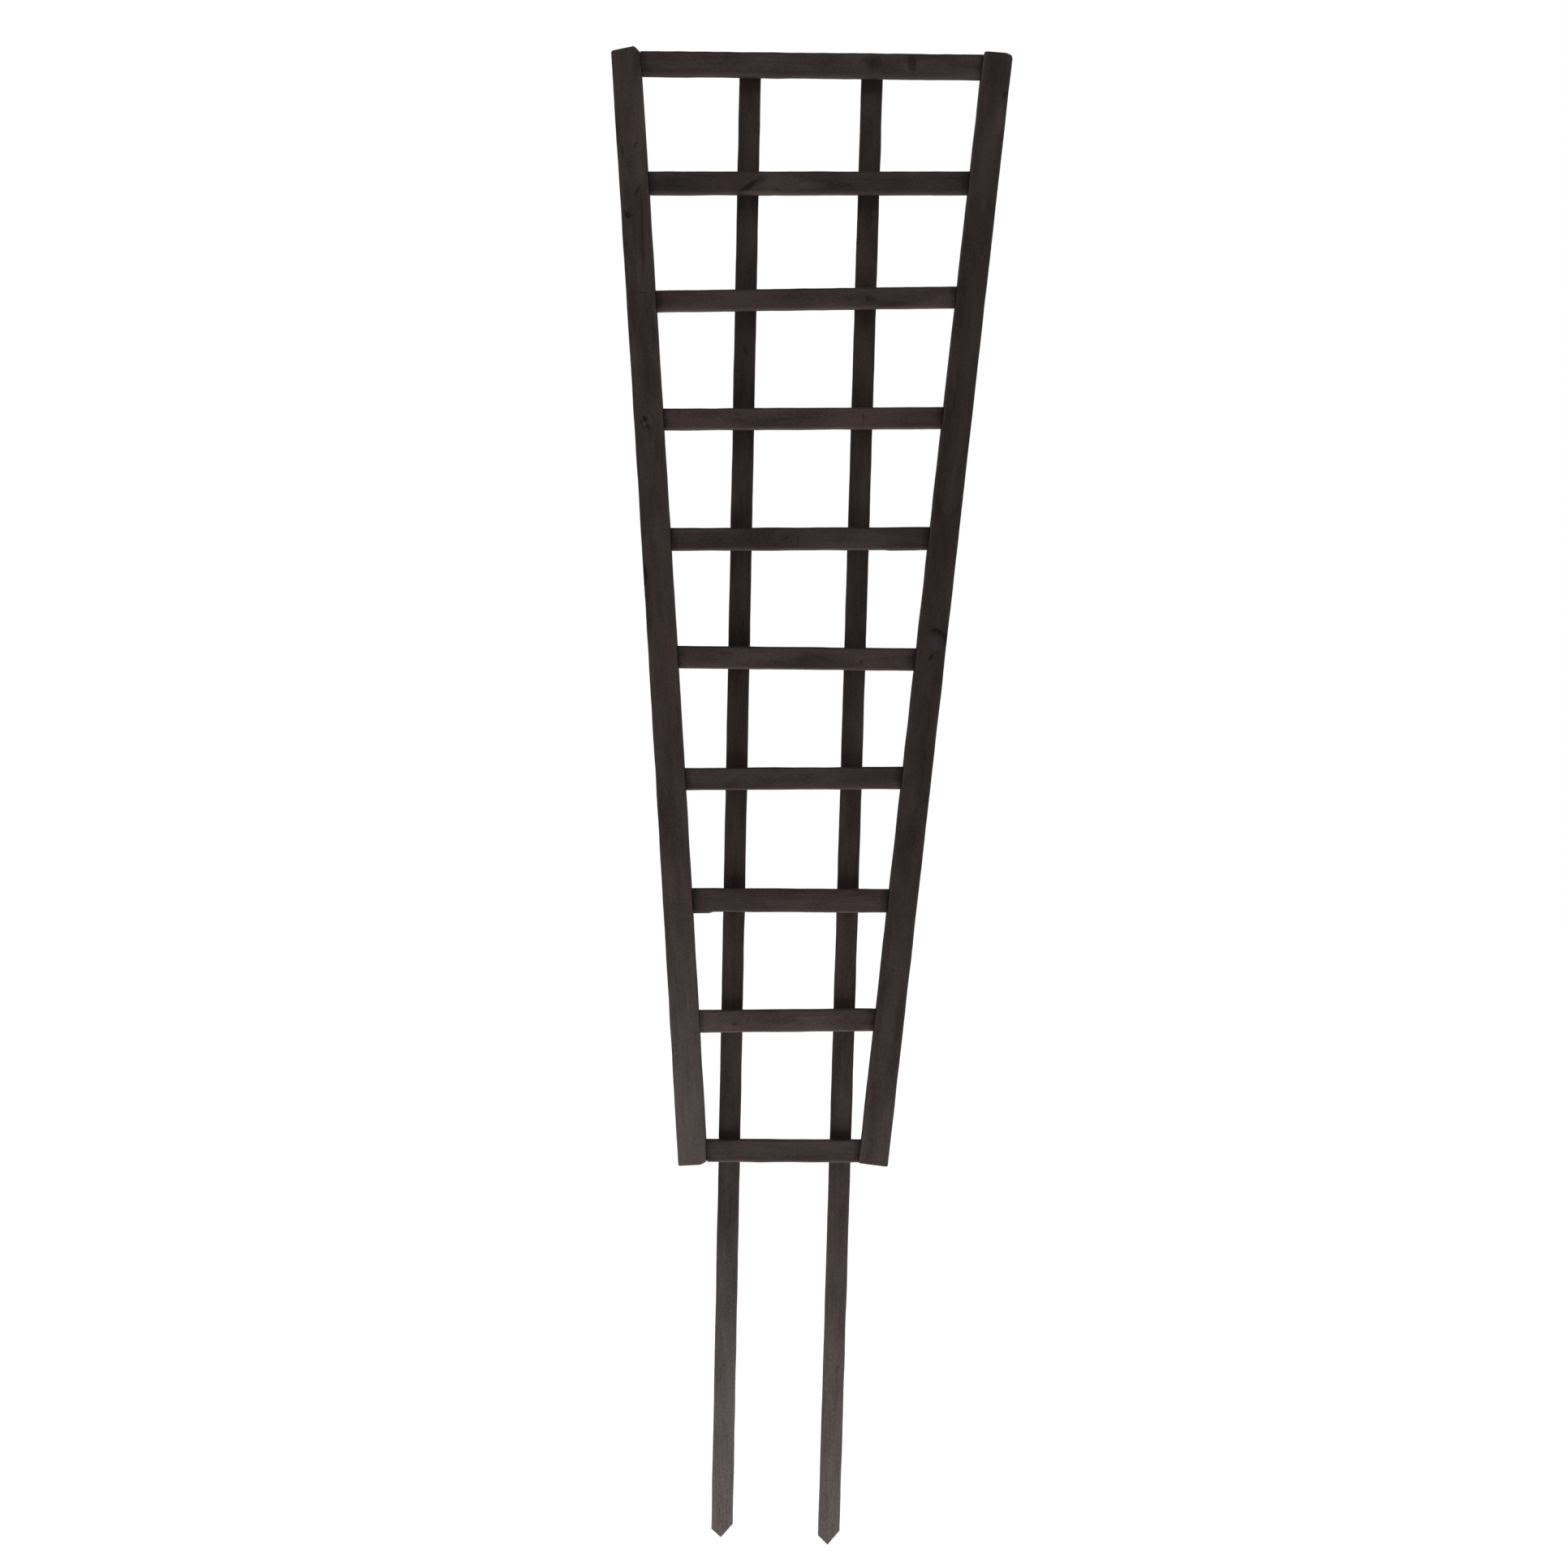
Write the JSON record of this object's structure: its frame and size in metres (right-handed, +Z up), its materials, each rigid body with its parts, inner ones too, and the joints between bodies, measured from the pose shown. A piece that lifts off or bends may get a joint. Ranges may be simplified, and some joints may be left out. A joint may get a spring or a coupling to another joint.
{
  "type": "fan trellis",
  "caption": "Flat fan-shaped timber trellis panel: two splayed square stiles, rails between them, and two slats behind that end in pointed ground stakes.",
  "frame": {"origin": "on the plane that the lower stake tip touches, under the middle of the whole object's width and depth", "axes": "+Z up along the panel's height, +X to the right seen from the front, the front with the rails' faces is towards -Y, the slats are at the back towards +Y"},
  "size_m": [0.484, 0.035, 1.8066],
  "materials": {
    "stile_timber": "dark brown wood stain, matt, sawn faces",
    "rail_timber": "dark brown wood stain, matt, sawn faces",
    "slat_timber": "dark brown wood stain, matt, sawn faces",
    "galvanised_wire": "dull zinc"
  },
  "bodies": {
    "root": {"left_stile": "stile_timber", "left_slat": "slat_timber", "left_stile_nails": "galvanised_wire", "left_slat_staples": "galvanised_wire", "right_stile": "stile_timber", "right_slat": "slat_timber", "right_stile_nails": "galvanised_wire", "right_slat_staples": "galvanised_wire", "rail_1": "rail_timber", "rail_2": "rail_timber", "rail_3": "rail_timber", "rail_4": "rail_timber", "rail_5": "rail_timber", "rail_6": "rail_timber", "rail_7": "rail_timber", "rail_8": "rail_timber", "rail_9": "rail_timber", "rail_10": "rail_timber"}
  },
  "joints": []
}
